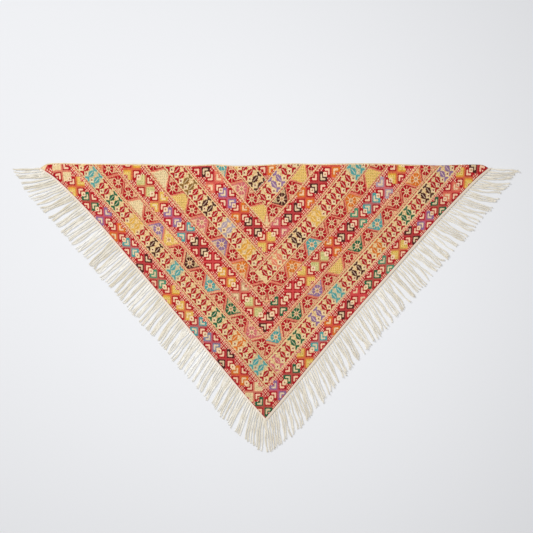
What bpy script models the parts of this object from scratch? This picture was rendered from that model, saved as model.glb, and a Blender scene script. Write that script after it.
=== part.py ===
"""A fringed triangular shawl laid flat on a surface, its point towards -Y.

One triangular panel of stitched cotton cloth carries a sewn fringe trim along each
of its two slanted sides. A trim is a narrow header tape with the strands fused to
it. The two trims meet in a mitre below the panel's point. The panel's underside is
flat, apart from the soft waves along its top edge, and rests on the surface.
"""

import math
import random

import bmesh
import bpy
from mathutils import Vector

# The panel, in metres. The drafting origin is midway between its two top corners.
TOP_WIDTH = 1.500
DEPTH = 0.838
POINT_OFFSET = 0.003
CLOTH_WALL = 0.0015
PANEL_ROWS = 48

# How far the slanted sides bow in from the straight line between corner and point.
# share: 0 at the corner and 1 at the point. left, right: metres.
SIDE_BOW = (
    {"share": 0.00, "left": 0.000, "right": 0.000},
    {"share": 0.05, "left": 0.014, "right": 0.008},
    {"share": 0.13, "left": 0.021, "right": 0.012},
    {"share": 0.22, "left": 0.024, "right": 0.015},
    {"share": 0.38, "left": 0.020, "right": 0.015},
    {"share": 0.60, "left": 0.013, "right": 0.014},
    {"share": 0.80, "left": 0.006, "right": 0.007},
    {"share": 0.92, "left": 0.001, "right": 0.002},
    {"share": 1.00, "left": 0.000, "right": 0.000},
)

# How far the top edge rises above the line between the corners, as it eases.
# x: metres from the middle. rise: metres.
TOP_EDGE = (
    {"x": -0.750, "rise": 0.013},
    {"x": -0.500, "rise": 0.012},
    {"x": -0.214, "rise": 0.012},
    {"x": -0.164, "rise": 0.014},
    {"x": -0.080, "rise": 0.006},
    {"x": -0.023, "rise": 0.012},
    {"x": 0.054, "rise": 0.017},
    {"x": 0.422, "rise": 0.017},
    {"x": 0.576, "rise": 0.007},
    {"x": 0.750, "rise": 0.010},
)
TOP_EDGE_FADE = 0.12
CORNER_EASE = 0.027

# Soft waves that lift the cloth along its top edge and die out towards the point.
# x: middle of the wave, half_width, reach: down the cloth, height: all in metres.
WAVES = (
    {"x": -0.430, "half_width": 0.110, "reach": 0.170, "height": 0.0030},
    {"x": -0.075, "half_width": 0.100, "reach": 0.260, "height": 0.0055},
    {"x": 0.240, "half_width": 0.090, "reach": 0.150, "height": 0.0025},
    {"x": 0.540, "half_width": 0.100, "reach": 0.200, "height": 0.0045},
)

# The fringe trim, in metres
SEAM_GAP = 0.0003
TAPE_WIDTH = 0.010
TAPE_TURN = 0.025
FLOOR_CLEARANCE = 0.0003
STRANDS_PER_SIDE = 110
STRAND_LENGTH_SPREAD = 0.004
LOCK_SIZES = (2, 3, 4, 5)
LOCK_PULL = 0.34
LOCK_SWAY = 0.004
FIRST_ROOT = 0.004
LAST_ROOT = 0.003

# A strand's sections. share: along it. half_width, low, high: metres.
STRAND_SECTIONS = (
    {"share": 0.00, "half_width": 0.0018, "low": 0.0000, "high": 0.0020},
    {"share": 0.34, "half_width": 0.0019, "low": 0.0000, "high": 0.0024},
    {"share": 0.70, "half_width": 0.0017, "low": 0.0001, "high": 0.0022},
    {"share": 1.00, "half_width": 0.0011, "low": 0.0003, "high": 0.0014},
)

# How the strands lie along each side. share: 0 at the corner and 1 at the point.
# Leans are degrees from square to the side, plus towards the point. Reaches are how
# far the tips lie from the tape, square to the side, in metres.
STRAND_LAY = (
    {"share": 0.00, "left_lean": -41, "left_reach": 0.0635, "right_lean": -42, "right_reach": 0.072},
    {"share": 0.03, "left_lean": -36, "left_reach": 0.0820, "right_lean": -39, "right_reach": 0.080},
    {"share": 0.08, "left_lean": -22, "left_reach": 0.0990, "right_lean": -32, "right_reach": 0.094},
    {"share": 0.15, "left_lean": -11, "left_reach": 0.1025, "right_lean": -23, "right_reach": 0.102},
    {"share": 0.25, "left_lean": -6, "left_reach": 0.1055, "right_lean": -8, "right_reach": 0.106},
    {"share": 0.40, "left_lean": 4, "left_reach": 0.1060, "right_lean": 3, "right_reach": 0.108},
    {"share": 0.55, "left_lean": 8, "left_reach": 0.1030, "right_lean": 13, "right_reach": 0.108},
    {"share": 0.72, "left_lean": 16, "left_reach": 0.1010, "right_lean": 19, "right_reach": 0.107},
    {"share": 0.86, "left_lean": 21, "left_reach": 0.0985, "right_lean": 28, "right_reach": 0.101},
    {"share": 0.93, "left_lean": 29, "left_reach": 0.0955, "right_lean": 33, "right_reach": 0.099},
    {"share": 1.00, "left_lean": 46, "left_reach": 0.0743, "right_lean": 40, "right_reach": 0.082},
)
KNEE_SHARE = 0.45
KNEE_LEAN = 0.75

LEFT_CORNER = Vector((-TOP_WIDTH / 2, 0.0))
RIGHT_CORNER = Vector((TOP_WIDTH / 2, 0.0))
POINT = Vector((POINT_OFFSET, -DEPTH))


def clear_scene():
    """Remove every object the file opened with."""
    for scene_object in list(bpy.data.objects):
        bpy.data.objects.remove(scene_object, do_unlink=True)


def read_curve(table, along, column, place):
    """Read one column of a table as a smooth curve through its rows."""
    knots = [(row[along], row[column]) for row in table]
    place = min(max(place, knots[0][0]), knots[-1][0])
    index = 0
    while index < len(knots) - 2 and place > knots[index + 1][0]:
        index += 1

    def slope(knot):
        before = knots[max(knot - 1, 0)]
        after = knots[min(knot + 1, len(knots) - 1)]
        return (after[1] - before[1]) / (after[0] - before[0])

    start, end = knots[index], knots[index + 1]
    span = end[0] - start[0]
    part = (place - start[0]) / span
    ease = part * part * (3.0 - 2.0 * part)
    lead = slope(index) * span * part * (1.0 - part) ** 2
    trail = slope(index + 1) * span * part * part * (1.0 - part)
    return start[1] * (1.0 - ease) + end[1] * ease + lead - trail


def make_material(name, color, roughness):
    """Make a plain cloth material with its own colour."""
    material = bpy.data.materials.new(name)
    material.use_nodes = True
    shader = material.node_tree.nodes["Principled BSDF"]
    shader.inputs["Base Color"].default_value = (*color, 1.0)
    shader.inputs["Roughness"].default_value = roughness
    shader.inputs["Metallic"].default_value = 0.0
    material.diffuse_color = (*color, 1.0)
    return material


def add_object(name, mesh, material, parent):
    """Put a bmesh into the scene as one named object."""
    data = bpy.data.meshes.new(name)
    mesh.to_mesh(data)
    mesh.free()
    data.materials.append(material)
    part = bpy.data.objects.new(name, data)
    bpy.context.scene.collection.objects.link(part)
    part.parent = parent
    return part


class Side:
    """One slanted side of the panel, measured from its corner to the point."""

    def __init__(self, corner, column):
        self.corner = corner
        self.column = column
        run = POINT - corner
        self.length = run.length
        self.along = run.normalized()
        outward = Vector((self.along.y, -self.along.x))
        if outward.dot(corner - Vector((POINT.x, corner.y))) < 0.0:
            outward = -outward
        self.outward = outward

    def edge(self, share):
        """Return the point of the panel's edge at a share of the side."""
        bow = read_curve(SIDE_BOW, "share", self.column, share)
        return self.corner + self.along * (share * self.length) - self.outward * bow

    def heading(self, angle):
        """Return the direction turned by an angle from square towards the point."""
        return self.outward * math.cos(angle) + self.along * math.sin(angle)


def wave_height(x, y):
    """Return how far the soft waves lift the cloth off the surface."""
    height = 0.0
    for wave in WAVES:
        across = abs(x - wave["x"]) / wave["half_width"]
        down = max(-y, 0.0) / wave["reach"]
        if across < 1.0 and down < 1.0:
            hump = math.cos(across * math.pi / 2) ** 2
            fade = math.cos(down * math.pi / 2) ** 2
            height += wave["height"] * hump * fade
    return height


def panel_point(left, right, share, part):
    """Return a point of the panel, by its row and its place in the row."""
    start = left.edge(share)
    end = right.edge(share)
    spot = start.lerp(end, part)
    fade = max(1.0 - share / TOP_EDGE_FADE, 0.0) ** 2
    inset = min(part, 1.0 - part) * (end - start).length
    ease = math.sin(min(inset / CORNER_EASE, 1.0) * math.pi / 2)
    rise = read_curve(TOP_EDGE, "x", "rise", spot.x) * fade * ease
    x, y = spot.x, spot.y + rise
    return Vector((x, y, wave_height(x, y)))


def build_panel(left, right, material, parent):
    """Build the triangular cloth in rows from the top edge to the point."""
    mesh = bmesh.new()
    rows = []
    for row in range(PANEL_ROWS + 1):
        steps = PANEL_ROWS - row
        share = row / PANEL_ROWS
        parts = [step / steps for step in range(steps + 1)] if steps else [0.5]
        rows.append([mesh.verts.new(panel_point(left, right, share, part)) for part in parts])
    for upper, lower in zip(rows, rows[1:]):
        for step in range(len(lower)):
            mesh.faces.new((upper[step], lower[step], upper[step + 1]))
            if step:
                mesh.faces.new((lower[step - 1], lower[step], upper[step]))
    panel = add_object("cloth", mesh, material, parent)
    wall = panel.modifiers.new("wall", "SOLIDIFY")
    wall.thickness = CLOTH_WALL
    wall.offset = 1.0
    return panel


def tape_turn(side, place):
    """Return the angle of the tape's crosswise line at a place along the side."""
    if place < TAPE_TURN:
        level = math.acos(min(abs(side.outward.x), 1.0))
        return -level * (1.0 - place / TAPE_TURN) ** 2
    if place > side.length:
        return (place - side.length) / (SEAM_GAP + TAPE_WIDTH)
    return 0.0


def tape_inner(side, place):
    """Return a point of the tape's inner edge, a seam's gap from the cloth."""
    share = min(place / side.length, 1.0)
    return side.edge(share) + side.outward * SEAM_GAP


def tape_outer(side, place):
    """Return a point of the tape's outer edge, where the strands are rooted."""
    angle = tape_turn(side, place)
    if place > side.length:
        return POINT + side.heading(angle) * (SEAM_GAP + TAPE_WIDTH)
    return tape_inner(side, place) + side.heading(angle) * (TAPE_WIDTH / math.cos(angle))


def plan_strands(side, end_place, draw):
    """Return the place, lean, root and tip of each strand, gathered in locks."""
    run = end_place - FIRST_ROOT - LAST_ROOT
    pitch = run / (STRANDS_PER_SIDE - 1)
    places = [FIRST_ROOT + pitch * index for index in range(STRANDS_PER_SIDE)]
    strands = []
    while len(strands) < STRANDS_PER_SIDE:
        size = draw.choice(LOCK_SIZES)
        lock = places[len(strands):len(strands) + size]
        middle = sum(lock) / len(lock)
        sway = draw.uniform(-LOCK_SWAY, LOCK_SWAY)
        for place in lock:
            root = tape_outer(side, place)
            share = place / side.length
            lean = math.radians(read_curve(STRAND_LAY, "share", side.column + "_lean", share))
            reach = read_curve(STRAND_LAY, "share", side.column + "_reach", share)
            length = reach / math.cos(lean) + draw.uniform(-1.0, 1.0) * STRAND_LENGTH_SPREAD
            gather = (middle - place) * LOCK_PULL + sway
            tip = root + side.heading(lean) * length + side.along * gather
            strands.append({"place": place, "lean": lean, "root": root, "tip": tip})
    return strands


def strand_rings(side, strand):
    """Return the four-cornered sections of a strand beyond its root."""
    turn = tape_turn(side, strand["place"])
    first = side.heading(turn + (strand["lean"] - turn) * KNEE_LEAN)
    span = strand["tip"] - strand["root"]
    knee = strand["root"] + first * (span.length * KNEE_SHARE)
    rings = []
    for section in STRAND_SECTIONS[1:]:
        share = section["share"]
        near = strand["root"].lerp(knee, share)
        far = knee.lerp(strand["tip"], share)
        middle = near.lerp(far, share)
        course = (far - near).normalized()
        across = Vector((-course.y, course.x)) * section["half_width"]
        if across.dot(side.along) < 0.0:
            across = -across
        low = FLOOR_CLEARANCE + section["low"]
        high = FLOOR_CLEARANCE + section["high"]
        rings.append((middle - across, middle + across, low, high))
    return rings


def build_fringe(name, side, material, parent, seed):
    """Build a side's header tape with its strands drawn out of the tape's edge."""
    last_turn = math.acos(min(-side.outward.y, 1.0))
    end_place = side.length + last_turn * (SEAM_GAP + TAPE_WIDTH)
    strands = plan_strands(side, end_place, random.Random(seed))
    root = STRAND_SECTIONS[0]
    low = FLOOR_CLEARANCE + root["low"]
    high = FLOOR_CLEARANCE + root["high"]
    half = root["half_width"]
    stops = [0.0]
    for strand in strands:
        stops += [strand["place"] - half, strand["place"] + half]
    stops.append(end_place)

    mesh = bmesh.new()
    mitre = POINT.x + (SEAM_GAP / 2) * (1.0 if side.outward.x > 0.0 else -1.0)
    stations = []
    point_pair = None
    for stop in stops:
        outer = tape_outer(side, stop)
        if stop == end_place:
            outer = Vector((mitre, outer.y))
        outer_pair = [mesh.verts.new((outer.x, outer.y, z)) for z in (low, high)]
        if stop < side.length or point_pair is None:
            inner = tape_inner(side, stop)
            inner_pair = [mesh.verts.new((inner.x, inner.y, z)) for z in (low, high)]
            if stop >= side.length:
                point_pair = inner_pair
        else:
            inner_pair = point_pair
        stations.append((inner_pair, outer_pair))

    def close_end(station):
        (inner_low, inner_high), (outer_low, outer_high) = station
        mesh.faces.new((inner_low, outer_low, outer_high, inner_high))

    close_end(stations[0])
    close_end(stations[-1])
    for index, (start, end) in enumerate(zip(stations, stations[1:])):
        (in_low, in_high), (out_low, out_high) = start
        (next_in_low, next_in_high), (next_out_low, next_out_high) = end
        if in_low is next_in_low:
            mesh.faces.new((in_low, out_low, next_out_low))
            mesh.faces.new((in_high, out_high, next_out_high))
        else:
            mesh.faces.new((in_low, out_low, next_out_low, next_in_low))
            mesh.faces.new((in_high, out_high, next_out_high, next_in_high))
            mesh.faces.new((in_low, next_in_low, next_in_high, in_high))
        ring = (out_low, next_out_low, next_out_high, out_high)
        if index % 2:
            ring = draw_strand(mesh, ring, strand_rings(side, strands[index // 2]))
        mesh.faces.new(ring)
    bmesh.ops.recalc_face_normals(mesh, faces=mesh.faces)
    return add_object(name, mesh, material, parent)


def draw_strand(mesh, ring, sections):
    """Draw a strand out of a quad of the tape's edge and return its open end."""
    for start, end, low, high in sections:
        corners = ((start, low), (end, low), (end, high), (start, high))
        further = tuple(mesh.verts.new((spot.x, spot.y, z)) for spot, z in corners)
        for corner in range(4):
            following = (corner + 1) % 4
            mesh.faces.new((ring[corner], ring[following], further[following], further[corner]))
        ring = further
    return ring


def centre_on_origin(parent, parts):
    """Move the shawl so that the middle of its box lies over the origin."""
    spots = [vertex.co for part in parts for vertex in part.data.vertices]
    for axis in (0, 1):
        values = [spot[axis] for spot in spots]
        parent.location[axis] = -(min(values) + max(values)) / 2


def build_shawl():
    """Build the panel and its two fringe trims."""
    clear_scene()
    shawl = bpy.data.objects.new("shawl", None)
    bpy.context.scene.collection.objects.link(shawl)
    left = Side(LEFT_CORNER, "left")
    right = Side(RIGHT_CORNER, "right")
    stitched = make_material("stitched_cotton", (0.58, 0.17, 0.11), 0.85)
    left_yarn = make_material("fringe_yarn_left", (0.84, 0.80, 0.70), 0.9)
    right_yarn = make_material("fringe_yarn_right", (0.84, 0.80, 0.70), 0.9)
    parts = [
        build_panel(left, right, stitched, shawl),
        build_fringe("fringe_left", left, left_yarn, shawl, seed=11),
        build_fringe("fringe_right", right, right_yarn, shawl, seed=23),
    ]
    centre_on_origin(shawl, parts)


build_shawl()
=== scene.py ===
"""Looks of a fringed triangular shawl laid flat: stitched cloth, header tapes and yarn.

Lengths are metres in the frame's axes. The cloth is drafted on its own stitch grid:
a stitch is numbered along the left side and along the right side, both counted from
the point. Each half of the cloth is painted with rows of charted motifs that
run along its own slanted side, and the halves meet in a mitre on the middle line.
"""

import math
import random

import bmesh
import bpy
import numpy as np
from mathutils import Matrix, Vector


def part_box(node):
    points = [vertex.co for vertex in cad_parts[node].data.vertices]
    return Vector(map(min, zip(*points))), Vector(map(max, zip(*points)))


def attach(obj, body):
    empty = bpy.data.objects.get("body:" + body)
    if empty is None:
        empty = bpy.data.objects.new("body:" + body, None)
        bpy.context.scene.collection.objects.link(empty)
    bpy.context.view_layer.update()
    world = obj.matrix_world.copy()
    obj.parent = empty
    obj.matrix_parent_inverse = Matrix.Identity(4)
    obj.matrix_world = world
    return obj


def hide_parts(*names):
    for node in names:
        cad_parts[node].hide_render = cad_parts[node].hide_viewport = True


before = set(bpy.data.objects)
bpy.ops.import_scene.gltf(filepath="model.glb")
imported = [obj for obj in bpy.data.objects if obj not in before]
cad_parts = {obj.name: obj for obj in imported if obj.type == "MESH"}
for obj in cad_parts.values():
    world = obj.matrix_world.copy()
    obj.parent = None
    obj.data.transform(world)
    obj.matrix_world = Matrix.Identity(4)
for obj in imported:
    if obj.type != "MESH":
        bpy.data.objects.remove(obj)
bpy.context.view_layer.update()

# The panel, as it is drafted: the origin is midway between its two top corners.
TOP_WIDTH = 1.500
DEPTH = 0.838
POINT_OFFSET = 0.003
CLOTH_WALL = 0.0015

# How far the slanted sides bow in. share: 0 at the corner and 1 at the point.
SIDE_BOW = {
    "share": (0.00, 0.05, 0.13, 0.22, 0.38, 0.60, 0.80, 0.92, 1.00),
    "left": (0.000, 0.014, 0.021, 0.024, 0.020, 0.013, 0.006, 0.001, 0.000),
    "right": (0.000, 0.008, 0.012, 0.015, 0.015, 0.014, 0.007, 0.002, 0.000),
}

# How far the top edge rises above the line between the corners.
TOP_EDGE = {
    "x": (
        -0.750, -0.633, -0.566, -0.499, -0.432, -0.365, -0.298, -0.231, -0.164, -0.097, -0.030,
        0.037, 0.104, 0.171, 0.238, 0.305, 0.372, 0.439, 0.506, 0.573, 0.640, 0.750,
    ),
    "rise": (
        0.0130, 0.0100, 0.0119, 0.0148, 0.0148, 0.0138, 0.0112, 0.0104, 0.0128, 0.0072, 0.0088,
        0.0134, 0.0160, 0.0144, 0.0157, 0.0176, 0.0180, 0.0170, 0.0137, 0.0100, 0.0098, 0.0100,
    ),
}
TOP_EDGE_FADE = 0.20
CORNER_EASE = 0.027

# Soft waves that lift the cloth along its top edge.
WAVES = (
    {"x": -0.430, "half_width": 0.110, "reach": 0.170, "height": 0.0030},
    {"x": -0.075, "half_width": 0.100, "reach": 0.260, "height": 0.0055},
    {"x": 0.240, "half_width": 0.090, "reach": 0.150, "height": 0.0025},
    {"x": 0.540, "half_width": 0.100, "reach": 0.200, "height": 0.0045},
)

# The fringe trim
SEAM_GAP = 0.0003
TAPE_WIDTH = 0.010
TAPE_TURN = 0.025
FLOOR_CLEARANCE = 0.0003

# The stitch grid
SIDE_STITCHES = 420
BACK_STEP = 4
BACK_CLEARANCE = 0.0001
RELIEF = 0.00004
HALF_ROWS = SIDE_STITCHES // 2 + 2
CELL = 25
BOW_REACH = 75

# How the weave is drawn out of true: sideways on the middle line at the top edge,
# and towards the slanted sides, which grows away from the middle line.
MITRE_LEAN = 0.009
SPREAD_LEFT = 0.005
SPREAD_RIGHT = 0.009
SPREAD_REACH = 50

# The photograph's frame and how it sees the shawl
PHOTO_SIDE = 1.7856
PHOTO_MIDDLE = Vector((0.0067, -0.3300))
LENS = 85.0
SENSOR = 36.0

# The floor and the lights, in metres and watts
FLOOR_HALF = 6.0
SKY_STRENGTH = 0.455
LIGHT_SIZE = 1.0
LIGHTS = (
    {"name": "key", "spot": (-3.9, 2.6, 3.9), "target": (-0.2, 0.1, 0.0), "power": 155.0},
    {"name": "fill", "spot": (0.1, 0.1, 1.8), "target": (0.1, 0.1, 0.0), "power": 11.5},
)

# Thread colours, as display values
THREADS = {
    "ground": (236, 204, 150),
    "red": (176, 17, 30),
    "rose": (212, 74, 72),
    "blush": (253, 202, 167),
    "mesh": (214, 104, 92),
    "cream": (255, 228, 190),
    "plain": (234, 206, 154),
    "russet": (150, 66, 36),
    "tan": (222, 172, 116),
    "gold": (222, 158, 58),
    "olive": (144, 103, 48),
    "straw": (227, 188, 82),
    "yellow": (228, 184, 88),
    "orange": (218, 114, 38),
    "turquoise": (82, 160, 156),
    "green": (34, 98, 64),
    "sea": (72, 144, 110),
    "lime": (204, 194, 122),
    "lilac": (146, 110, 148),
    "blue": (128, 128, 152),
    "pearl": (176, 156, 166),
    "brown": (78, 32, 27),
    "pink": (208, 108, 110),
    "salmon": (226, 128, 98),
    "beige": (206, 160, 120),
}

# A row of motifs has a course: where it starts, in cells from the point along its side,
# its pitch in cells, and how much the pitch shrinks with each repeat.

# Rows of crossings with hearts. centre: stitches in from the side. Each accent says
# which pair of hearts has it.
CROSSINGS = (
    {"half": "left", "centre": 11, "course": (0.244, 1.087, 0.0032), "accents":
        "along green, across plain full, along orange, across brown, along blue,"
        "across turquoise, along yellow, across gold full, along sea, across brown,"
        "along turquoise, across orange, across lilac, along green, across gold full,"
        "along plain full, along red"},
    {"half": "right", "centre": 11, "course": (0.321, 1.086, 0.0048), "accents":
        "across green, across lilac, along green, across gold full, along turquoise,"
        "across orange, along brown, across rose, along green, across sea,"
        "along yellow full, across brown, along lilac, across green, along salmon,"
        "across gold full, along brown"},
    {"half": "left", "centre": 82, "course": (3.156, 1.026, 0.0018), "accents":
        "across brown, along lime full, across beige, along gold, along red,"
        "along brown, across turquoise, along lilac, across yellow, along lime full,"
        "across gold full, along blue"},
    {"half": "right", "centre": 82, "course": (3.185, 1.051, 0.0066), "accents":
        "along brown, across green, along red, across yellow full, along lime full,"
        "across orange, along brown, across sea, along turquoise, across pearl,"
        "along gold full, along red"},
    {"half": "left", "centre": 148, "course": (5.94, 0.968, 0.0), "accents":
        "across yellow full, along brown, across orange, along lilac, across salmon,"
        "along brown"},
    {"half": "right", "centre": 148, "course": (5.94, 0.965, 0.0), "accents":
        "along yellow full, across pink, along brown, across orange, along brown,"
        "across orange"},
    {"half": "left", "centre": 210, "course": (8.40, 1.000, 0.0), "accents":
        "along orange"},
    {"half": "right", "centre": 210, "course": (8.40, 1.000, 0.0), "accents":
        "across orange"},
)

# Rows of paired spindle figures. row: the foot's stitch, in from the side.
SPINDLES = (
    {"half": "left", "row": 28, "course": (1.227, 0.4017, 0.00038), "pairs":
        "red turquoise red orange red green red red red turquoise red brown red yellow"
        " red green red turquoise red lilac"},
    {"half": "right", "row": 27, "course": (2.157, 0.4013, 0.00074), "pairs":
        "pink red green red lilac red turquoise red brown red orange red red green red"
        " brown red lilac red"},
    {"half": "left", "row": 114, "course": (5.635, 0.3765, 0.0010), "pairs":
        "red gold red pearl red brown red olive red red"},
    {"half": "right", "row": 114, "course": (4.972, 0.3663, 0.0), "pairs":
        "red salmon red brown red yellow red red red turquoise red"},
    {"half": "left", "row": 179, "course": (8.20, 0.388, 0.0), "pairs":
        "brown red yellow"},
    {"half": "right", "row": 179, "course": (7.45, 0.388, 0.0), "pairs":
        "red lilac red brown"},
)

# Rows of alternating triangles. row: the outer edge's stitch. Triangles stand wide
# side out and wide side in by turns, the first one wide side out.
TRIANGLES = (
    {"half": "left", "row": 51, "course": (2.603, 0.789, 0.0014), "fills":
        "rosette, pink, rosette, green, rosette, turquoise, rosette, brown, rosette,"
        "yellow, lilac, rosette, plain full, rosette, rosette, rosette, orange full"},
    {"half": "right", "row": 51, "course": (2.284, 0.797, 0.0031), "fills":
        "rosette, turquoise, rosette, green, rosette, lilac, rosette, yellow full, rosette,"
        "green, rosette, turquoise, rosette, rosette, rosette, orange, rosette"},
    {"half": "left", "row": 98, "course": (4.454, 0.765, 0.0021), "fills":
        "rosette, rosette, orange, rosette, lilac, rosette, pink, rosette, yellow full,"
        "rosette, plain full, rosette, rosette"},
    {"half": "right", "row": 97, "course": (4.535, 0.748, 0.0010), "fills":
        "rosette, rosette, orange, rosette, turquoise, rosette, rosette, rosette, orange,"
        "rosette, yellow full, rosette, turquoise"},
    {"half": "left", "row": 162, "course": (7.15, 0.730, 0.0), "fills":
        "yellow full, rosette, pink, rosette, turquoise"},
    {"half": "right", "row": 162, "course": (7.15, 0.720, 0.0), "fills":
        "rosette, brown, rosette, yellow full, rosette"},
)

# Painted light: how much paler the threads are painted from the point towards the left and the
# right corner, brightest towards the left corner, nearest the key light
PAINTED_LIGHT_FALLOFF = {"point": 0.93, "left": 0.15, "right": 0.05}

# The hem along the top edge, plain between two stitches of the left side, and how many
# stitches of the left corner it covers
HEM_ROWS = 2
HEM_REACH = (66, 420)
CORNER_HEM = 6

# Net patches beside the crossings: first and last stitch in from the side
NETS = ((0, 23), (70, 93), (136, 157), (198, 222))

# Thin rows of dots between the bands: a repeating unit of threads and its stitch rows
LINES = (
    {"unit": "russet rose tan russet rose", "rows": (26, 47, 66, 95, 112, 133, 159, 177, 198)},
    {"unit": "ground rose blush tan", "rows": (25, 48, 65, 68, 94, 134, 158, 176)},
    {"unit": "tan blush rose ground tan", "rows": (49, 67, 96, 111, 160)},
    {"unit": "rose blush tan", "rows": (24, 69, 135)},
    {"unit": "russet tan ground rose ground", "rows": (50,)},
    {"unit": "ground rose ground tan blush", "rows": (97,)},
    {"unit": "ground tan blush", "rows": (161,)},
)

# Where one half's band runs through the whole corner of the mitre. first, last: the
# band's stitches in from the side.
MITRE_BANDS = (
    {"first": 0, "last": 22, "half": "right"},
    {"first": 26, "last": 48, "half": "left"},
    {"first": 112, "last": 135, "half": "right"},
    {"first": 178, "last": 199, "half": "right"},
)

# A crossing's parts, in stitches. Its bars lie on its diagonals. Widths are measured
# from the bars' middle line, and reaches are run and rise from the centre together.
CROSSING_RUN = 13
CROSSING_RISE = 12
CROSSING_REACH = 16
CROSSING_WIDTH = 8
BAR_WIDTH = 1
HEART_EDGE = 3
HEART_WIDTH = 6
HEART_REACH = 12

# A triangle's parts, in stitches: how far it can reach along the row, the widths of its
# stripe and of the border inside that, and the rows that have specks
TRIANGLE_ROWS = 14
TRIANGLE_MIDDLE = 9.3
TRIANGLE_SLOPE = 4.2
TRIANGLE_REACH = 15
STRIPE_WIDTH = 1.3
BORDER_WIDTH = 2.8
SPECK_ROWS = 7

# A spindle figure, its top row first. a: accent, A: its paler core, d: dot, c: cream, t: tan.
SPINDLE_CHART = (
    "aaaAaaa.t.",
    "aaaaaaat.t",
    ".AaaaA.t.t",
    "...a....t.",
    "..aaa.....",
    ".aaAaa..t.",
    ".aaAaa..t.",
    "aaaAaaattt",
    "aaaAaaa.t.",
    "aaaAaaa.t.",
    ".aaAaa....",
    ".aaAaa..c.",
    "..aaa..cdc",
    "...a..cddd",
    "..aaa..cdc",
    ".aaaaa..c.",
    "aaaaaaa...",
    "aaA.Aaa.t.",
)

# An eight-petalled rosette. a: petals, w: pale ring and rays, d: its heart.
ROSETTE_CHART = (
    "...aaa.aaa...",
    "..aaaawaaaa..",
    ".a.aaawaaa.a.",
    "aaa.aawaa.aaa",
    "aaaa.www.aaaa",
    "aaaawdddwaaaa",
    ".wwwwdddwwww.",
    "aaaawdddwaaaa",
    "aaaa.www.aaaa",
    "aaa.aawaa.aaa",
    ".a.aaawaaa.a.",
    "..aaaawaaaa..",
    "...aaa.aaa...",
)


def linear(display):
    """Turn display values from 0 to 255 into linear light."""
    share = np.asarray(display, dtype=float) / 255.0
    return np.where(share <= 0.04045, share / 12.92, ((share + 0.055) / 1.055) ** 2.4)


DYES = {name: linear(value) for name, value in THREADS.items()}


def read_curve(table, along, column, places):
    """Read one column of a table as a smooth curve, for one place or many."""
    knots = np.array(table[along])
    values = np.array(table[column])
    slopes = np.empty_like(values)
    slopes[1:-1] = (values[2:] - values[:-2]) / (knots[2:] - knots[:-2])
    slopes[0] = (values[1] - values[0]) / (knots[1] - knots[0])
    slopes[-1] = (values[-1] - values[-2]) / (knots[-1] - knots[-2])
    places = np.clip(places, knots[0], knots[-1])
    index = np.clip(np.searchsorted(knots, places, side="left") - 1, 0, len(knots) - 2)
    span = knots[index + 1] - knots[index]
    part = (places - knots[index]) / span
    ease = part * part * (3.0 - 2.0 * part)
    lead = slopes[index] * span * part * (1.0 - part) ** 2
    trail = slopes[index + 1] * span * part * part * (1.0 - part)
    return values[index] * (1.0 - ease) + values[index + 1] * ease + lead - trail


# Places in the frame
cloth_low, cloth_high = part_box("cloth")
SHIFT = Vector((cloth_low[0] + TOP_WIDTH / 2, cloth_low[1] + DEPTH))
LEFT_CORNER = np.array((-TOP_WIDTH / 2, 0.0))
RIGHT_CORNER = np.array((TOP_WIDTH / 2, 0.0))
POINT = np.array((POINT_OFFSET, -DEPTH))


class Side:
    """One slanted side of the panel, measured from its corner to the point."""

    def __init__(self, corner, column):
        self.corner = corner
        self.column = column
        run = POINT - corner
        self.length = float(np.hypot(*run))
        self.along = run / self.length
        outward = np.array((self.along[1], -self.along[0]))
        if outward @ (corner - np.array((POINT[0], corner[1]))) < 0.0:
            outward = -outward
        self.outward = outward

    def bow(self, share):
        """Return how far the edge bows in at a share of the side."""
        return read_curve(SIDE_BOW, "share", self.column, share)

    def edge(self, share):
        """Return the point of the panel's edge at a share of the side."""
        run = self.corner + self.along * (share * self.length)
        return run - self.outward * float(self.bow(share))

    def heading(self, angle):
        """Return the direction turned by an angle from square towards the point."""
        return self.outward * math.cos(angle) + self.along * math.sin(angle)


LEFT = Side(LEFT_CORNER, "left")
RIGHT = Side(RIGHT_CORNER, "right")


def wave_height(x, y):
    """Return how far the soft waves lift the cloth off the surface."""
    height = np.zeros_like(x)
    for wave in WAVES:
        across = np.clip(np.abs(x - wave["x"]) / wave["half_width"], 0.0, 1.0)
        down = np.clip(-y / wave["reach"], 0.0, 1.0)
        height += wave["height"] * np.cos(across * np.pi / 2) ** 2 * np.cos(down * np.pi / 2) ** 2
    return height


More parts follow.
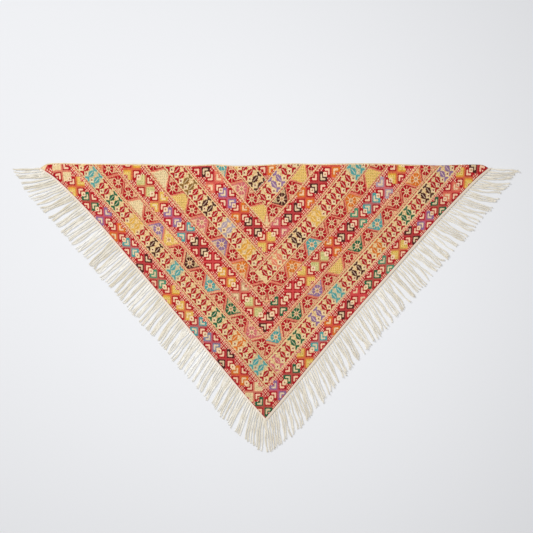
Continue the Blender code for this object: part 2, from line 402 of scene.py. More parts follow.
def grid_to_cloth(i, j):
    """Map stitch grid places to drafting places on the cloth lying flat."""
    total = float(SIDE_STITCHES)
    left_run = LEFT_CORNER - POINT
    right_run = RIGHT_CORNER - POINT
    x = POINT[0] + left_run[0] * i / total + right_run[0] * j / total
    y = POINT[1] + left_run[1] * i / total + right_run[1] * j / total
    for side, run, depth in ((LEFT, i, j), (RIGHT, j, i)):
        fade = np.clip(1.0 - depth / BOW_REACH, 0.0, 1.0)
        push = side.bow(1.0 - run / total) * fade
        x = x - side.outward[0] * push
        y = y - side.outward[1] * push
    level = (i + j) / total
    swing = (i - j) / np.maximum(i + j, 1.0)
    x = x + MITRE_LEAN * level * (1.0 - np.abs(swing))
    rows_in = np.clip(np.minimum(i, j) / SPREAD_REACH, 0.0, 1.0)
    push = np.where(i > j, SPREAD_LEFT, -SPREAD_RIGHT) * np.abs(i - j) / total * rows_in
    x = x + np.where(i > j, LEFT.outward[0], -RIGHT.outward[0]) * push
    y = y + np.where(i > j, LEFT.outward[1], -RIGHT.outward[1]) * push
    fade = np.clip(1.0 - (1.0 - level) / TOP_EDGE_FADE, 0.0, 1.0) ** 2
    inset = np.minimum(i, j) * TOP_WIDTH / total
    ease = np.sin(np.clip(inset / CORNER_EASE, 0.0, 1.0) * np.pi / 2)
    y = y + read_curve(TOP_EDGE, "x", "rise", x) * fade * ease
    return x, y


def set_stitch(half, spot, row, colour):
    """Colour one stitch of a half, if it lies on the half."""
    if 0 <= spot < SIDE_STITCHES and 0 <= row < HALF_ROWS:
        half[spot, row] = colour


def stamp(half, chart, along, across, colours):
    """Stamp a chart of stitches. Its first row lies furthest in from the side."""
    for line_number, line in enumerate(reversed(chart)):
        for step, mark in enumerate(line):
            if mark in colours:
                set_stitch(half, along + step, across + line_number, colours[mark])


def paint_net(half, first, last):
    """Paint a net of red threads over the ground between two rows."""
    for row in range(max(first, 0), min(last + 1, HALF_ROWS)):
        for spot in range(SIDE_STITCHES):
            open_along = spot % 5 in (1, 3)
            open_across = (row - first) % 5 in (1, 3)
            if open_along and open_across:
                half[spot, row] = DYES["cream"]
            elif open_along or open_across:
                half[spot, row] = DYES["mesh"]
            else:
                half[spot, row] = DYES["red"]


def paint_crossing(half, along, centre, accent):
    """Paint one crossing with its four hearts."""
    pair, name, *full = accent.split()
    colour = DYES[name]
    rose = DYES["rose"]
    pale = (DYES["cream"] + DYES["ground"]) / 2.0
    core = rose if name == "red" else rose * 0.7 + colour * 0.3
    fill = DYES["straw"] if name in ("gold", "yellow") else colour
    for dx in range(-CROSSING_RUN, CROSSING_RUN):
        for dy in range(-CROSSING_RISE, CROSSING_RISE):
            run, rise = abs(dx + 0.5), abs(dy + 0.5)
            near = abs(rise - run)
            far = run + rise
            if far > CROSSING_REACH or near > CROSSING_WIDTH:
                continue
            own = name != "red" and pair == ("across" if rise > run else "along")
            if near <= BAR_WIDTH:
                paint = core
            elif own and full and near > HEART_EDGE:
                paint = speckle(fill, dx, dy)
            elif HEART_EDGE < near <= HEART_WIDTH and far <= HEART_REACH:
                paint = colour * 0.18 + pale * 0.82 if own else DYES["blush"]
            else:
                paint = colour if own else DYES["red"]
            set_stitch(half, along + dx, centre + dy, paint)


def paint_diamond(half, along, centre):
    """Paint the small diamond between two crossings."""
    rim = (DYES["cream"] + DYES["blush"]) / 2.0
    heart = (DYES["tan"] + DYES["russet"]) / 2.0
    for dx in range(-4, 4):
        for dy in range(-4, 4):
            reach = abs(dx + 0.5) + abs(dy + 0.5)
            if reach <= 3:
                set_stitch(half, along + dx, centre + dy, heart if reach <= 1 else rim)


def place_motif(row, index):
    """Return the stitch along the side where a motif of a row is centred."""
    first, pitch, shrink = row["course"]
    return (first + pitch * index - shrink * index ** 2) * CELL


def paint_crossings(half, row):
    """Paint a row of crossings over its net."""
    centre = row["centre"]
    accents = [accent.strip() for accent in row["accents"].split(",")]
    start = int(place_motif(row, 0))
    end = int(place_motif(row, len(accents)))
    ground = DYES["ground"]
    half[max(start - 12, 0):end, centre - 3:centre + 3] = ground
    for index in range(len(accents)):
        paint_diamond(half, round(place_motif(row, index + 0.5)), centre)
    for index, accent in enumerate(accents):
        paint_crossing(half, round(place_motif(row, index)), centre, accent)


def paint_spindles(half, row):
    """Paint a row of paired spindle figures on the ground."""
    ground = DYES["ground"]
    top = row["row"] + len(SPINDLE_CHART)
    first, pitch, _ = row["course"]
    start = max(int((first - pitch) * CELL), 0)
    half[start:, row["row"] - 1:top + 1] = ground
    for index, name in enumerate(row["pairs"].split()):
        colour = DYES[name]
        if name == "yellow":
            colour = (colour + DYES["gold"]) / 2.0
        colours = {
            "a": colour,
            "A": colour * 0.5 + DYES["cream"] * 0.5,
            "c": DYES["cream"],
            "d": DYES["russet"],
            "t": DYES["tan"],
        }
        for figure in (2 * index, 2 * index + 1):
            along = round(place_motif(row, figure - 0.5)) - 3
            if name in ("yellow", "gold", "turquoise"):
                tint = ground * 0.7 + colour * 0.3
                half[along - 1:along + 9, row["row"] - 1:top + 1] = tint
            stamp(half, SPINDLE_CHART, along, row["row"], colours)


def speckle(colour, step, row):
    """Return a plain fill's thread, paler on a lattice and darker inside it."""
    if (step + row) % 4 == 0 or (step - row) % 4 == 0:
        return colour * 0.65 + DYES["cream"] * 0.35
    return colour * 0.78 if (step + row) % 4 == 2 else colour


def paint_triangle(half, along, row, wide, fill):
    """Paint one triangle of a zigzag row, with its stripe on both sides."""
    name, *full = fill.split()
    name = "red" if name == "rosette" else name
    colour = DYES[name]
    ground = DYES["ground"]
    between = ground * 0.8 + colour * 0.2
    if name == "red":
        between = ground * 0.6 + DYES["rose"] * 0.25 + DYES["blush"] * 0.15
    stripe = DYES["rose"] * 0.5 + DYES["salmon"] * 0.3 + ground * 0.2
    last = TRIANGLE_ROWS - 1
    for depth in range(TRIANGLE_ROWS):
        place = row + depth if wide == "out" else row + last - depth
        reach = TRIANGLE_MIDDLE + TRIANGLE_SLOPE * (1.0 - 2.0 * depth / last)
        for dx in range(-TRIANGLE_REACH, TRIANGLE_REACH + 1):
            inside = reach - abs(dx)
            if inside < -0.2:
                continue
            if inside < STRIPE_WIDTH:
                paint = stripe
            elif full:
                paint = speckle(colour, dx, depth)
            elif inside < BORDER_WIDTH or depth == last:
                paint = colour
            elif depth < SPECK_ROWS and (dx + 2 * depth) % 4 == 0:
                paint = colour * 0.7 + ground * 0.3
            else:
                paint = between
            set_stitch(half, along + dx, place, paint)
    if not full:
        chart_row = row if wide == "out" else row + TRIANGLE_ROWS - len(ROSETTE_CHART)
        colours = {
            "a": colour,
            "w": (DYES["blush"] + ground) / 2.0,
            "d": DYES["russet"] * 0.6 + ground * 0.4,
        }
        stamp(half, ROSETTE_CHART, along - len(ROSETTE_CHART) // 2, chart_row, colours)


def paint_triangles(half, row):
    """Paint a zigzag row of triangles."""
    turn = ("out", "in")
    for index, fill in enumerate(row["fills"].split(",")):
        along = round(place_motif(row, index))
        paint_triangle(half, along, row["row"], turn[index % 2], fill.strip())


def paint_half(name):
    """Paint one half of the cloth, indexed along its side and in from it."""
    half = np.empty((SIDE_STITCHES, HALF_ROWS, 3))
    half[:] = DYES["ground"]
    for first, last in NETS:
        paint_net(half, first, last)
    for line in LINES:
        unit = line["unit"].split()
        for spot in range(SIDE_STITCHES):
            half[spot, line["rows"]] = DYES[unit[spot % len(unit)]]
    painters = {paint_triangles: TRIANGLES, paint_spindles: SPINDLES, paint_crossings: CROSSINGS}
    for paint, table in painters.items():
        for row in table:
            if row["half"] == name:
                paint(half, row)
    return half


def owner_is_left(i, j):
    """Say whether a stitch belongs to the left half."""
    for band in MITRE_BANDS:
        if band["first"] <= min(i, j) and max(i, j) <= band["last"]:
            return band["half"] == "left"
    return i >= j


def paint_cloth():
    """Join the two painted halves in the mitre, vary the threads a little at random and paint light
    over them: paler from the point towards the corners, most towards the left one.
    """
    left = paint_half("left")
    right = paint_half("right")
    cloth = np.empty((SIDE_STITCHES, SIDE_STITCHES, 3))
    cloth[:] = DYES["ground"]
    for i in range(SIDE_STITCHES):
        for j in range(SIDE_STITCHES - i):
            if owner_is_left(i, j):
                if j < HALF_ROWS:
                    cloth[i, j] = left[i, j]
            elif i < HALF_ROWS:
                cloth[i, j] = right[j, i]
    hem = DYES["ground"] * 0.6 + DYES["cream"] * 0.4
    for i in range(*HEM_REACH):
        cloth[i, SIDE_STITCHES - i - HEM_ROWS:SIDE_STITCHES - i] = hem
    cloth[SIDE_STITCHES - CORNER_HEM:] = hem
    draw = np.random.default_rng(5)
    tone = draw.normal(1.0, 0.12, cloth.shape[:2])
    share = np.arange(SIDE_STITCHES) / SIDE_STITCHES
    # Painted light: a falloff that makes the threads paler towards the upper left, where the key
    # light comes from, and darker at the point.
    painted_light = PAINTED_LIGHT_FALLOFF["point"] + PAINTED_LIGHT_FALLOFF["left"] * share[:, None] + PAINTED_LIGHT_FALLOFF["right"] * share[None, :]
    return np.clip(cloth * (tone * painted_light)[:, :, None], 0.0, 1.0)


def new_object(name, data):
    """Link a new object to the scene."""
    piece = bpy.data.objects.new(name, data)
    bpy.context.scene.collection.objects.link(piece)
    return piece


def stitch_faces(count):
    """Yield the grid corners of each stitch, triangles along the top edge."""
    for i in range(count):
        for j in range(count - i):
            if i + j + 2 <= count:
                yield (i, j), (i, j + 1), (i + 1, j + 1), (i + 1, j)
            else:
                yield (i, j), (i, j + 1), (i + 1, j)


def back_faces(count, step):
    """Yield the grid corners of each larger face on the back."""
    for i in range(0, count, step):
        for j in range(0, count - i, step):
            if i + j + 2 * step <= count:
                yield (i, j), (i + step, j), (i + step, j + step), (i, j + step)
            else:
                yield (i, j), (i + step, j), (i, j + step)


def rim_faces(count, step):
    """Yield each rim face's grid corners on the face side, then its two on the back."""
    for start in range(0, count, step):
        steps = range(start, start + step + 1)
        end = start + step
        yield [(k, 0) for k in steps], ((end, 0), (start, 0))
        yield [(0, k) for k in reversed(steps)], ((0, start), (0, end))
        yield [(count - k, k) for k in steps], ((count - end, end), (count - start, start))


def build_cloth(colours):
    """Build the cloth as a thin closed shell, one face for each stitch on its face side."""
    count = SIDE_STITCHES
    step = BACK_STEP
    i_grid, j_grid = np.meshgrid(np.arange(count + 1.0), np.arange(count + 1.0), indexing="ij")
    x, y = grid_to_cloth(i_grid, j_grid)
    lift = wave_height(x, y)
    draw = np.random.default_rng(9)
    relief = draw.normal(0.0, RELIEF, x.shape)
    top_z = lift + CLOTH_WALL + relief
    back_z = lift + BACK_CLEARANCE
    x = x + SHIFT.x
    y = y + SHIFT.y

    points = []
    top = {}
    for i in range(count + 1):
        for j in range(count + 1 - i):
            top[i, j] = len(points)
            points.append((x[i, j], y[i, j], top_z[i, j]))
    back = {}
    for i in range(0, count + 1, step):
        for j in range(0, count + 1 - i, step):
            back[i, j] = len(points)
            points.append((x[i, j], y[i, j], back_z[i, j]))

    faces, marks, spots, tints = [], [], [], []

    def add(corners, mark, places, colour):
        faces.append(corners)
        marks.append(mark)
        for place in places:
            spots.extend(place)
            tints.extend((*colour, 1.0))

    for places in stitch_faces(count):
        add([top[place] for place in places], 0, places, colours[places[0]])
    for places in back_faces(count, step):
        i, j = places[0]
        block = colours[i:i + step, j:j + step].reshape(-1, 3)
        add([back[place] for place in places], 1, places, block.mean(axis=0))
    for run, under in rim_faces(count, step):
        corners = [top[place] for place in run] + [back[place] for place in under]
        near = colours[min(run[0][0], count - 1), min(run[0][1], count - 1)]
        add(corners, 0, (*run, *under), near)

    data = bpy.data.meshes.new("stitched_cloth")
    data.from_pydata(points, [], faces)
    data.update()
    threads = data.color_attributes.new("thread", "FLOAT_COLOR", "CORNER")
    threads.data.foreach_set("color", np.array(tints, dtype=np.float32))
    weave = data.uv_layers.new(name="stitch")
    weave.data.foreach_set("uv", np.array(spots, dtype=np.float32))
    data.polygons.foreach_set("material_index", marks)
    data.shade_smooth()
    return new_object("stitched_cloth", data)


class Nodes:
    """A short way to write a material's node tree."""

    def __init__(self, name):
        self.material = bpy.data.materials.new(name)
        self.material.use_nodes = True
        self.tree = self.material.node_tree
        self.shader = self.tree.nodes["Principled BSDF"]

    def feed(self, node, values):
        """Set a node's inputs to constants, or link outputs to them."""
        for slot, value in values.items():
            if isinstance(value, bpy.types.NodeSocket):
                self.tree.links.new(value, node.inputs[slot])
            elif value is not None:
                node.inputs[slot].default_value = value

    def add(self, kind, **values):
        """Add a node and feed its inputs by name."""
        node = self.tree.nodes.new(kind)
        self.feed(node, values)
        return node

    def math(self, operation, first, second=None):
        """Return the result of a Math node."""
        node = self.add("ShaderNodeMath")
        node.operation = operation
        self.feed(node, {0: first, 1: second})
        return node.outputs[0]

    def mix(self, kind, factor, first, second):
        """Return a mix of two colours."""
        node = self.add("ShaderNodeMix")
        node.data_type = "RGBA"
        node.blend_type = kind
        self.feed(node, {0: factor, 6: first, 7: second})
        return node.outputs[2]

    def attribute(self, name):
        """Read a named attribute of the mesh."""
        node = self.add("ShaderNodeAttribute")
        node.attribute_name = name
        return node

    def stitch_places(self):
        """Return the stitch grid's coordinates."""
        node = self.add("ShaderNodeUVMap")
        node.uv_map = "stitch"
        return node.outputs[0]

    def noise(self, scale, detail, roughness=0.5):
        """Return a noise over the object's own coordinates."""
        spot = self.add("ShaderNodeTexCoord").outputs["Object"]
        node = self.add("ShaderNodeTexNoise", Vector=spot, Scale=scale, Detail=detail)
        self.feed(node, {"Roughness": roughness})
        return node.outputs["Fac"]

    def shaded(self, colour, shade):
        """Return a colour multiplied by a grey shade."""
        grey = self.add("ShaderNodeCombineColor", Red=shade, Green=shade, Blue=shade)
        return self.mix("MULTIPLY", 1.0, colour, grey.outputs[0])

    def bump(self, height, distance, strength):
        """Bump the surface by a height."""
        node = self.add("ShaderNodeBump", Height=height, Distance=distance, Strength=strength)
        self.feed(self.shader, {"Normal": node.outputs[0]})

    def finish(self, colour, roughness, specular, sheen=0.0, sheen_roughness=0.5):
        """Feed the shader its colour and constants, and return the material."""
        self.feed(self.shader, {
            "Base Color": colour,
            "Roughness": roughness,
            "Specular IOR Level": specular,
            "Sheen Weight": sheen,
            "Sheen Roughness": sheen_roughness,
        })
        return self.material


def cloth_material():
    """Coloured stitches over a plain weave: ridged threads, painted shade in the gaps between
    stitches, worn tone.
    """
    made = Nodes("stitched_cotton_look")
    split = made.add("ShaderNodeSeparateXYZ", Vector=made.stitch_places())
    ridges = []
    for place in (split.outputs[0], split.outputs[1]):
        wave = made.math("SINE", made.math("MULTIPLY", place, math.pi))
        ridges.append(made.math("ABSOLUTE", wave))
    pillow = made.math("POWER", made.math("MULTIPLY", *ridges), 0.4)
    diagonal = made.math("ADD", split.outputs[0], split.outputs[1])
    plies = made.math("SINE", made.math("MULTIPLY", diagonal, 4.0 * math.pi))
    made.bump(made.math("ADD", pillow, made.math("MULTIPLY", plies, 0.16)), 0.0005, 0.7)

    # Painted shade: the colour darkens where the stitch relief is low, in the gaps between
    # stitches.
    gap = made.math("ADD", made.math("MULTIPLY", pillow, 0.28), 0.76)
    wear = made.noise(7.0, 3.0, 0.6)
    tone = made.math("ADD", made.math("MULTIPLY", wear, 0.24), 0.88)
    fuzz = made.noise(900.0, 2.0, 0.6)
    grain = made.math("ADD", made.math("MULTIPLY", fuzz, 0.2), 0.9)
    shade = made.math("MULTIPLY", made.math("MULTIPLY", gap, tone), grain)
    colour = made.shaded(made.attribute("thread").outputs["Color"], shade)
    return made.finish(colour, 0.82, 0.15, sheen=0.05)


def back_material():
    """The stitching's reverse: paler, with short floating threads."""
    made = Nodes("stitched_cotton_reverse")
    places = made.stitch_places()
    wave = made.add("ShaderNodeTexWave", Vector=places, Scale=0.5, Distortion=3.0, Detail=2.0)
    thread = made.attribute("thread")
    pale = made.mix("MIX", 0.45, thread.outputs["Color"], (0.78, 0.66, 0.44, 1.0))
    streak = made.math("ADD", made.math("MULTIPLY", wave.outputs["Fac"], 0.3), 0.75)
    made.bump(wave.outputs["Fac"], 0.0004, 0.6)
    return made.finish(made.shaded(pale, streak), 0.9, 0.2)


def tape_turn(side, place):
    """Return the angle of the tape's crosswise line at a place along the side."""
    if place < TAPE_TURN:
        level = math.acos(min(abs(side.outward[0]), 1.0))
        return -level * (1.0 - place / TAPE_TURN) ** 2
    if place > side.length:
        return (place - side.length) / (SEAM_GAP + TAPE_WIDTH)
    return 0.0


def tape_spot(side, place, part):
    """Return a point of the tape: part 0 at the cloth and 1 where strands start."""
    angle = tape_turn(side, place)
    if place > side.length:
        return POINT + side.heading(angle) * (SEAM_GAP + TAPE_WIDTH * part)
    inner = side.edge(place / side.length) + side.outward * SEAM_GAP
    return inner + side.heading(angle) * (TAPE_WIDTH * part / math.cos(angle))


def tape_end(side):
    """Return the place where the side's tape ends, straight below the point."""
    return side.length + math.acos(min(-side.outward[1], 1.0)) * (SEAM_GAP + TAPE_WIDTH)


# The tapes' sections: share of the width, height in metres, and share of the ribs.
# The left strands start on top of their tape and the right ones under the edge of theirs.
TAPE_SECTIONS = {
    "left": (
        (0.00, 0.0003, 0.0),
        (0.00, 0.0014, 0.0),
        (0.08, 0.0022, 0.6),
        (0.30, 0.0025, 1.0),
        (0.45, 0.0022, 1.0),
        (0.60, 0.0012, 0.4),
        (0.98, 0.0008, 0.0),
        (1.00, 0.0003, 0.0),
    ),
    "right": (
        (0.00, 0.0003, 0.0),
        (0.00, 0.0018, 0.0),
        (0.08, 0.0028, 0.4),
        (0.35, 0.0031, 1.0),
        (0.74, 0.0031, 1.0),
        (0.88, 0.0027, 0.4),
        (0.95, 0.0016, 0.0),
        (0.97, 0.0003, 0.0),
    ),
}
TAPE_STEP = 0.0012
WELD_REACH = 0.00002
RIB_PITCH = 0.0046
RIB_HEIGHT = 0.00035

# A row of stitches along the right tape's outer edge, darkened as painted shadow: they stand in for
# the shadow line that the tape's edge casts on the strands' roots
SHADOW_STITCH_START = 0.003
SHADOW_STITCH_END = 0.004
SHADOW_STITCH_PITCH = 0.0047
SHADOW_STITCH_LENGTH = 0.0030
SHADOW_STITCH_RADIUS = 0.00045
SHADOW_STITCH_PART = 0.88
SHADOW_STITCH_HEIGHT = 0.0028
SHADOW_STITCH_BULGE = 0.0002


# How the strands lie along each side, as they are drafted. share: 0 at the corner and
# 1 at the point. Leans are degrees from square to the side, plus towards the point.
# Reaches are how far the tips lie from the tape, square to the side, in metres.
STRAND_LAY = {
    "share": (0.00, 0.03, 0.08, 0.15, 0.25, 0.40, 0.55, 0.72, 0.86, 0.93, 1.00),
    "left_lean": (-41, -36, -22, -11, -6, 4, 8, 16, 21, 29, 51),
    "left_reach": (
        0.0635, 0.0820, 0.0990, 0.1025, 0.1055, 0.1060, 0.1030, 0.1010, 0.0985, 0.0955, 0.0675,
    ),
    "right_lean": (-42, -39, -32, -23, -8, 3, 13, 19, 28, 33, 45),
    "right_reach": (0.072, 0.080, 0.094, 0.102, 0.106, 0.108, 0.108, 0.107, 0.101, 0.099, 0.0765),
}
KNEE_SHARE = 0.45
KNEE_LEAN = 0.85
FIRST_ROOT = 0.003
LAST_ROOT = 0.002

# A strand is two yarns laid together. strands: how many along a side. yarn: a yarn's
# radius. apart: from the strand's middle to a yarn's. root: share of the tape's width.
# flatness: a yarn's height for its width. turns: how often the yarns turn round each
# other. Locks gather strands. sizes: strands in a lock. join: shares of the length
# where they meet. spacing: their distance there. wander: how far a lock strays from
# its own place. partings: how many wide gaps open along the side, and gap: how wide.
# stray, ripple, hook, curl, lift: how far a strand leaves its lock, waves, bends aside
# and curls up at its tip, and lifts off the surface. pile: how far a yarn climbs over
# its fellow, for its distance from the strand's middle. seed: for the random draws.
FRINGES = {
    "left": {
        "strands": 124, "yarn": 0.00175, "apart": 0.00165, "root": 0.42, "flatness": 0.70,
        "pile": 0.25, "turns": (0.2, 1.1), "sizes": (1, 2, 2, 3, 3, 3, 4), "join": (0.45, 0.80),
        "spacing": 0.0054, "wander": 0.0018, "partings": 8, "gap": 0.0036, "stray": 0.0012,
        "ripple": 0.0015, "hook": 0.0020, "curl": 0.0006, "lift": 0.0005, "seed": 31,
    },
    "right": {
        "strands": 112, "yarn": 0.00150, "apart": 0.00150, "root": 0.92, "flatness": 0.80,
        "pile": 0.45, "turns": (0.3, 1.4), "sizes": (1, 1, 2, 2, 2, 3, 3, 4),
        "join": (0.25, 0.80), "spacing": 0.0056, "wander": 0.0034, "partings": 8, "gap": 0.0028,
        "stray": 0.0020, "ripple": 0.0030, "hook": 0.0030, "curl": 0.0022, "lift": 0.0012,
        "seed": 47,
    },
}

# How far from a parting locks are pushed aside, what locks, strands and yarns add to
# their length, lift and tint by chance, and where a strand leaves the tape, bends and curls
PARTING_REACH = 0.030
LOCK_LENGTH = (-0.004, 0.002)
LOCK_TINT = (0.3, 0.75)
STRAND_LENGTH = (-0.003, 0.002)
STRAND_LIFT = 0.0004
STRAND_TINT = 0.3
YARN_TINT = 0.12
TAPE_EDGE = 0.90
HOOK_START = 0.80
CURL_START = 0.85
YARN_STEPS = 40
YARN_CORNERS = 6
PLY_TURN = 0.013
PLY_RIDGE = 0.16

# How a yarn's width changes along it: it starts narrow at the root, is stout just after
# and thins to its tip, where the two yarns also part.
ROOT_TAPER = 0.05
ROOT_PINCH = 0.45
ROOT_SWELL = 0.28
THINNING = 0.10
TIP_START = 0.94
TIP_TAPER = 0.35
PART_START = 0.85
PART_WIDTH = 0.35

# The fine fibres at a yarn's cut end
FRAY_HAIRS = 3
FRAY_RADIUS = 0.00022
FRAY_START = 0.985
FRAY_AIM = 0.7
FRAY_BEND = 0.5
FRAY_LENGTH = (0.002, 0.006)

# The shares of a short tube's length where it has rings
SHORT_TUBE = (0.0, 1 / 3, 2 / 3, 1.0)


def gather_locks(habits, places, draw):
    """Split the strands' places into locks."""
    locks = []
    first = 0
    while first < len(places):
        size = draw.choice(habits["sizes"])
        locks.append(places[first:first + size])
        first += size
    return locks


def plan_strands(side, habits, draw):
    """Return each strand's course, gathered with its neighbours in locks."""
    end = tape_end(side)
    pitch = (end - FIRST_ROOT - LAST_ROOT) / (habits["strands"] - 1)
    places = [FIRST_ROOT + pitch * index for index in range(habits["strands"])]
    partings = [draw.uniform(0.04, 0.96) * end for _ in range(habits["partings"])]
    strands = []
    for lock in gather_locks(habits, places, draw):
        middle = sum(lock) / len(lock)
        sway = draw.gauss(0.0, habits["wander"])
        for parting in partings:
            away = middle - parting
            sway += math.copysign(habits["gap"], away) * math.exp(-abs(away) / PARTING_REACH)
        join = draw.uniform(*habits["join"])
        lock_length = draw.uniform(*LOCK_LENGTH)
        lock_lift = draw.uniform(0.0, habits["lift"])
        lock_tint = draw.uniform(*LOCK_TINT)
        for order, place in enumerate(lock):
            share = place / side.length
            turn = tape_turn(side, place)
            lean, reach = (
                float(read_curve(STRAND_LAY, "share", f"{side.column}_{kind}", share))
                for kind in ("lean", "reach")
            )
            lean = math.radians(lean)
            length = reach / math.cos(lean) + lock_length + draw.uniform(*STRAND_LENGTH)
            root = tape_spot(side, place, habits["root"])
            edge = tape_spot(side, place, TAPE_EDGE)
            order_offset = (order - (len(lock) - 1) / 2) * habits["spacing"]
            strands.append({
                "root": root,
                "knee": edge + side.heading(turn + (lean - turn) * KNEE_LEAN) * length * KNEE_SHARE,
                "tip": edge + side.heading(lean) * length,
                "length": length,
                "aside": side.along * math.cos(lean) - side.outward * math.sin(lean),
                "gather": (middle - place) * math.cos(lean) + order_offset,
                "join": join,
                "sway": sway + draw.gauss(0.0, habits["stray"]),
                "ripple": draw.uniform(-1.0, 1.0) * habits["ripple"],
                "phase": draw.uniform(0.0, math.tau),
                "turns": draw.uniform(*habits["turns"]) * draw.choice((-1.0, 1.0)),
                "hook": draw.gauss(0.0, habits["hook"]),
                "lift": lock_lift + draw.uniform(0.0, STRAND_LIFT),
                "tint": lock_tint + draw.uniform(-STRAND_TINT, STRAND_TINT),
                "curl": abs(draw.gauss(0.0, habits["curl"])),
            })
    return strands


def past(share, start):
    """Return how far a share lies past a start: 0 up to it and 1 at the end."""
    return max(share - start, 0.0) / (1.0 - start)


def root_pinch(share):
    """Return how much a yarn is narrowed where it starts."""
    return 1.0 - ROOT_PINCH * max(1.0 - share / ROOT_TAPER, 0.0)


def strand_point(strand, share):
    """Return a point on a strand's course and how high it is lifted there."""
    near = strand["root"] + (strand["knee"] - strand["root"]) * share
    far = strand["knee"] + (strand["tip"] - strand["knee"]) * share
    spot = near + (far - near) * share
    part = min(share / strand["join"], 1.0)
    drift = strand["gather"] * part * part * (3.0 - 2.0 * part)
    drift += strand["sway"] * share ** 1.8
    drift += strand["ripple"] * share * math.sin(strand["phase"] + share * 9.0)
    drift += strand["hook"] * past(share, HOOK_START) ** 2
    lift = strand["lift"] * math.sin(share * math.pi)
    lift += strand["curl"] * past(share, CURL_START) ** 2
    return spot + strand["aside"] * drift, lift


def yarn_spot(strand, habits, ply, share):
    """Return the middle of one of a strand's two yarns, with the directions there."""
    spot, lift = strand_point(strand, share)
    ahead, _ = strand_point(strand, min(share + 0.02, 1.0))
    behind, _ = strand_point(strand, max(share - 0.02, 0.0))
    course = (ahead - behind) / np.hypot(*(ahead - behind))
    across = np.array((-course[1], course[0]))
    angle = strand["phase"] * 0.25 + math.pi * ply + math.tau * strand["turns"] * share
    apart = habits["apart"] * root_pinch(share)
    apart *= 1.0 + ROOT_SWELL * (1.0 - share) ** 2 + PART_WIDTH * past(share, PART_START)
    height = FLOOR_CLEARANCE + habits["yarn"] * habits["flatness"] + lift
    height += habits["apart"] * habits["pile"] * (1.0 + math.sin(angle))
    return spot + across * apart * math.cos(angle), height, course, across


def add_tube(points, faces, rings):
    """Add a tube through rings of points, closed at both ends."""
    start = len(points)
    size = len(rings[0])
    for ring in rings:
        points.extend(ring)
    for step in range(len(rings) - 1):
        low = start + step * size
        high = low + size
        for corner in range(size):
            following = (corner + 1) % size
            faces.append((low + corner, low + following, high + following, high + corner))
    faces.append(tuple(reversed(range(start, start + size))))
    end = start + (len(rings) - 1) * size
    faces.append(tuple(range(end, end + size)))


def ring_round(spot, height, across, reaches, flatness=1.0):
    """Return a ring of points round a tube's middle, one for each reach."""
    ring = []
    for corner, reach in enumerate(reaches):
        angle = math.tau * corner / len(reaches)
        out = spot + across * reach * math.cos(angle)
        rise = height + reach * flatness * math.sin(angle)
        ring.append((out[0] + SHIFT.x, out[1] + SHIFT.y, max(rise, FLOOR_CLEARANCE)))
    return ring


def yarn_tube(strand, habits, ply):
    """Return the rings of one yarn, with the ridges of its own twist."""
    rings = []
    for step in range(YARN_STEPS + 1):
        share = step / YARN_STEPS
        spot, height, _, across = yarn_spot(strand, habits, ply, share)
        twist = strand["phase"] + share * strand["length"] / PLY_TURN * math.pi
        width = 1.0 + ROOT_SWELL * (1.0 - share) ** 2 - THINNING * share
        width -= TIP_TAPER * past(share, TIP_START) ** 2
        width *= root_pinch(share)
        reaches = []
        for corner in range(YARN_CORNERS):
            ridge = abs(math.cos(math.tau * corner / YARN_CORNERS - twist))
            reaches.append(habits["yarn"] * width * (1.0 - PLY_RIDGE + PLY_RIDGE * ridge))
        rings.append(ring_round(spot, height, across, reaches, habits["flatness"]))
    return rings


def fray_tube(strand, habits, ply, draw):
    """Return the rings of one fine fibre that sticks out of a yarn's cut end."""
    spot, height, course, across = yarn_spot(strand, habits, ply, FRAY_START)
    aim = draw.uniform(-FRAY_AIM, FRAY_AIM)
    bend = draw.uniform(-FRAY_BEND, FRAY_BEND)
    length = draw.uniform(*FRAY_LENGTH)
    spot = spot + across * draw.uniform(-0.5, 0.5) * habits["yarn"]
    rings = []
    for share in SHORT_TUBE:
        angle = aim + bend * share
        out = spot + (course * math.cos(angle) + across * math.sin(angle)) * length * share
        radius = FRAY_RADIUS * (1.0 - 0.5 * share)
        rise = max(height * (1.0 - 0.6 * share), FLOOR_CLEARANCE + radius)
        rings.append(ring_round(out, rise, across, [radius] * 3))
    return rings


def shadow_stitch_tube(side, place):
    """Return the rings of one short stitch along the tape's outer edge, dark as painted shadow."""
    rings = []
    for share in SHORT_TUBE:
        spot = tape_spot(side, place + SHADOW_STITCH_LENGTH * share, SHADOW_STITCH_PART)
        height = SHADOW_STITCH_HEIGHT + SHADOW_STITCH_BULGE * math.sin(math.pi * share)
        rings.append(ring_round(spot, height, side.outward, [SHADOW_STITCH_RADIUS] * 5))
    return rings


def tube_object(name, tubes, weld=False):
    """Make one smooth object of many tubes. tubes: pairs of rings and a tint."""
    points, faces, tints = [], [], []
    for rings, tint in tubes:
        add_tube(points, faces, rings)
        tints.extend([tint] * (len(points) - len(tints)))
    data = bpy.data.meshes.new(name)
    data.from_pydata(points, [], faces)
    data.update()
    data.attributes.new("tint", "FLOAT", "POINT").data.foreach_set("value", tints)
    mesh = bmesh.new()
    mesh.from_mesh(data)
    if weld:
        bmesh.ops.remove_doubles(mesh, verts=mesh.verts, dist=WELD_REACH)
    bmesh.ops.recalc_face_normals(mesh, faces=mesh.faces)
    mesh.to_mesh(data)
    mesh.free()
    data.shade_smooth()
    return new_object(name, data)


def build_yarns(name, side):
    """Build a side's strands, two yarns each, with frayed cut ends."""
    habits = FRINGES[side.column]
    draw = random.Random(habits["seed"])
    strands = plan_strands(side, habits, draw)
    tubes = []
    for strand in strands:
        for ply in (0, 1):
            tint = strand["tint"] + draw.uniform(-YARN_TINT, YARN_TINT)
            tubes.append((yarn_tube(strand, habits, ply), tint))
            for _ in range(FRAY_HAIRS):
                tubes.append((fray_tube(strand, habits, ply, draw), tint))
    return tube_object(name, tubes)


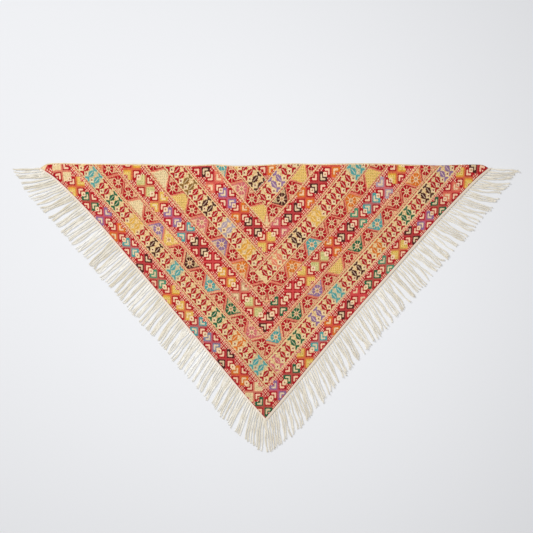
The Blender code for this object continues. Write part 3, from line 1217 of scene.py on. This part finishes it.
def build_tape(name, side):
    """Build a side's header tape as one closed ribbed strip with rounded edges."""
    end = tape_end(side)
    count = int(end / TAPE_STEP)
    mitre = POINT[0] + (SEAM_GAP / 2) * (1.0 if side.outward[0] > 0.0 else -1.0)
    rings = []
    for index in range(count + 1):
        place = end * index / count
        rib = RIB_HEIGHT * abs(math.sin(math.pi * place / RIB_PITCH))
        ring = []
        for part, height, share in TAPE_SECTIONS[side.column]:
            spot = tape_spot(side, place, part)
            x = min(spot[0], mitre) if side is LEFT else max(spot[0], mitre)
            ring.append((x + SHIFT.x, spot[1] + SHIFT.y, height + rib * share))
        rings.append(ring)
    return tube_object(name, [(rings, 0.5)], weld=True)


def build_shadow_stitches(name, side):
    """Build the row of dark stitches along a tape's outer edge that paint its shadow line."""
    tubes = []
    for index in range(int((side.length - SHADOW_STITCH_END) / SHADOW_STITCH_PITCH)):
        tubes.append((shadow_stitch_tube(side, SHADOW_STITCH_START + SHADOW_STITCH_PITCH * index), 0.5))
    return tube_object(name, tubes)


def yarn_material(name, pale, deep):
    """Undyed cotton with a little fuzz; a tint sets each yarn between pale and deep."""
    made = Nodes(name)
    cloud = made.math("SUBTRACT", made.noise(40.0, 2.0), 0.5)
    share = made.math("ADD", made.attribute("tint").outputs["Fac"], cloud)
    made.bump(made.noise(1400.0, 3.0, 0.65), 0.0003, 0.6)
    colour = made.mix("MIX", share, (*linear(pale), 1.0), (*linear(deep), 1.0))
    return made.finish(colour, 0.9, 0.2, sheen=0.2, sheen_roughness=0.6)


def floor_material():
    """A plain pale floor."""
    made = Nodes("pale_floor_look")
    light = (*linear((237, 238, 241)), 1.0)
    dark = (*linear((236, 237, 240)), 1.0)
    return made.finish(made.mix("MIX", made.noise(0.8, 1.0), light, dark), 0.95, 0.1)


def build_floor():
    """Lay a wide plane under the shawl."""
    far = FLOOR_HALF
    data = bpy.data.meshes.new("pale_floor")
    corners = [(-far, -far, 0.0), (far, -far, 0.0), (far, far, 0.0), (-far, far, 0.0)]
    data.from_pydata(corners, [], [(0, 1, 2, 3)])
    floor = new_object("pale_floor", data)
    data.materials.append(floor_material())


def add_light(name, spot, target, power):
    """Add a square area light aimed at a target."""
    data = bpy.data.lights.new(name, "AREA")
    data.size = LIGHT_SIZE
    data.energy = power
    light = new_object(name, data)
    light.location = spot
    light.rotation_euler = (Vector(target) - Vector(spot)).to_track_quat("-Z", "Y").to_euler()


def light_scene():
    """Light the floor softly, brighter from the upper left."""
    bpy.context.scene.view_settings.view_transform = "Standard"
    world = bpy.data.worlds.new("soft_studio")
    bpy.context.scene.world = world
    world.use_nodes = True
    sky = world.node_tree.nodes["Background"]
    sky.inputs["Color"].default_value = (1.0, 1.0, 1.0, 1.0)
    sky.inputs["Strength"].default_value = SKY_STRENGTH
    for light in LIGHTS:
        add_light(**light)


def add_camera():
    """Look straight down, with the photograph's frame."""
    data = bpy.data.cameras.new("camera")
    data.lens = LENS
    data.sensor_width = SENSOR
    data.sensor_fit = "HORIZONTAL"
    camera = new_object("camera", data)
    height = PHOTO_SIDE * LENS / SENSOR
    camera.location = (PHOTO_MIDDLE.x + SHIFT.x, PHOTO_MIDDLE.y + SHIFT.y, height)
    camera.rotation_euler = (0.0, 0.0, 0.0)
    bpy.context.scene.camera = camera


add_camera()
light_scene()
build_floor()

cloth = build_cloth(paint_cloth())
cloth.data.materials.append(cloth_material())
cloth.data.materials.append(back_material())
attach(cloth, "root")
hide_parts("cloth")

# Painted light and shade: the left yarn is painted paler and the right yarn darker, lit and shaded
# copies of one yarn.
yarn_looks = {
    "left": yarn_material("left_yarn_painted_lit_look", (254, 251, 244), (227, 218, 198)),
    "right": yarn_material("right_yarn_painted_shade_look", (248, 242, 229), (229, 220, 202)),
}
# Painted light and shade: the left tape is painted paler and the right tape darker, lit and shaded
# copies of one tape.
tape_looks = {
    "left": yarn_material("left_tape_painted_lit_look", (246, 232, 217), (236, 220, 204)),
    "right": yarn_material("right_tape_painted_shade_look", (228, 215, 198), (216, 201, 183)),
}
# Painted shadow: the dark stitch colour stands in for the shadow line along the right tape's edge.
shadow_stitch_look = yarn_material("tape_shadow_stitch_look", (150, 128, 104), (120, 98, 78))
for name, side in (("left", LEFT), ("right", RIGHT)):
    pieces = [
        (build_tape("header_tape_" + name, side), tape_looks[name]),
        (build_yarns("fringe_yarns_" + name, side), yarn_looks[name]),
    ]
    # Only the right side, away from the key light, gets the dark stitches as painted shadow.
    if side is RIGHT:
        pieces.append((build_shadow_stitches("tape_shadow_stitches_" + name, side), shadow_stitch_look))
    for piece, look in pieces:
        piece.data.materials.append(look)
        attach(piece, "root")
        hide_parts("fringe_" + name)
